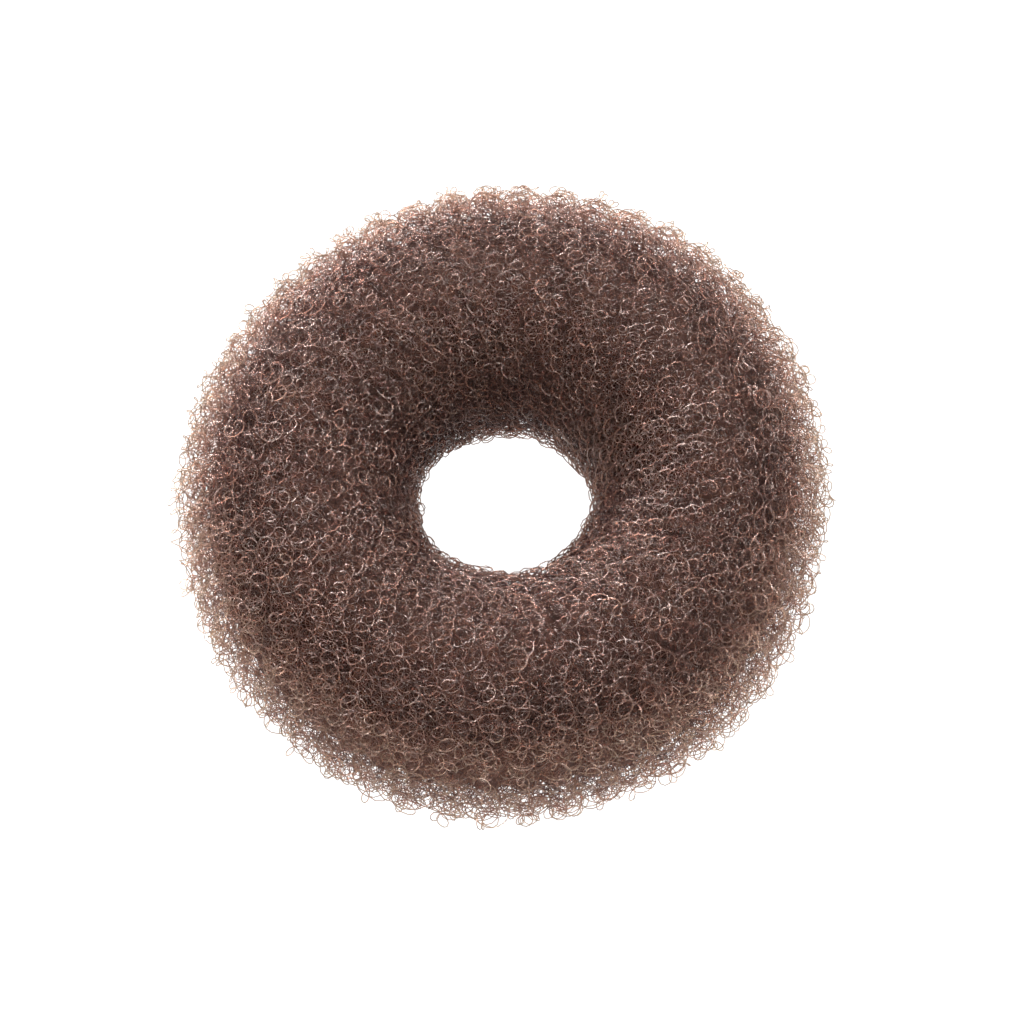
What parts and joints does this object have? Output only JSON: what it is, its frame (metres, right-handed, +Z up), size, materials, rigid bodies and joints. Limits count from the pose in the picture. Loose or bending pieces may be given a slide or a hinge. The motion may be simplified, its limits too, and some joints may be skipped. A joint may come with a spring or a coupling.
{
  "type": "hair bun donut ring",
  "caption": "Soft ring of curly monofilament mesh that pads a hair bun, with a central hole that the gathered hair is drawn through and an underside that it rests on.",
  "frame": {"origin": "middle of the ring, at the level of the surface that it lies on", "axes": "+Z up along the axis of the hole, +X to the right and +Y away from the viewer as the ring is seen in the picture"},
  "size_m": [0.0902, 0.0897, 0.038],
  "materials": {
    "curly_nylon_mesh": "crimped brown nylon monofilament, knitted and rolled, with a fine gloss on each strand"
  },
  "bodies": {
    "root": {"mesh_ring": "curly_nylon_mesh"}
  },
  "joints": []
}
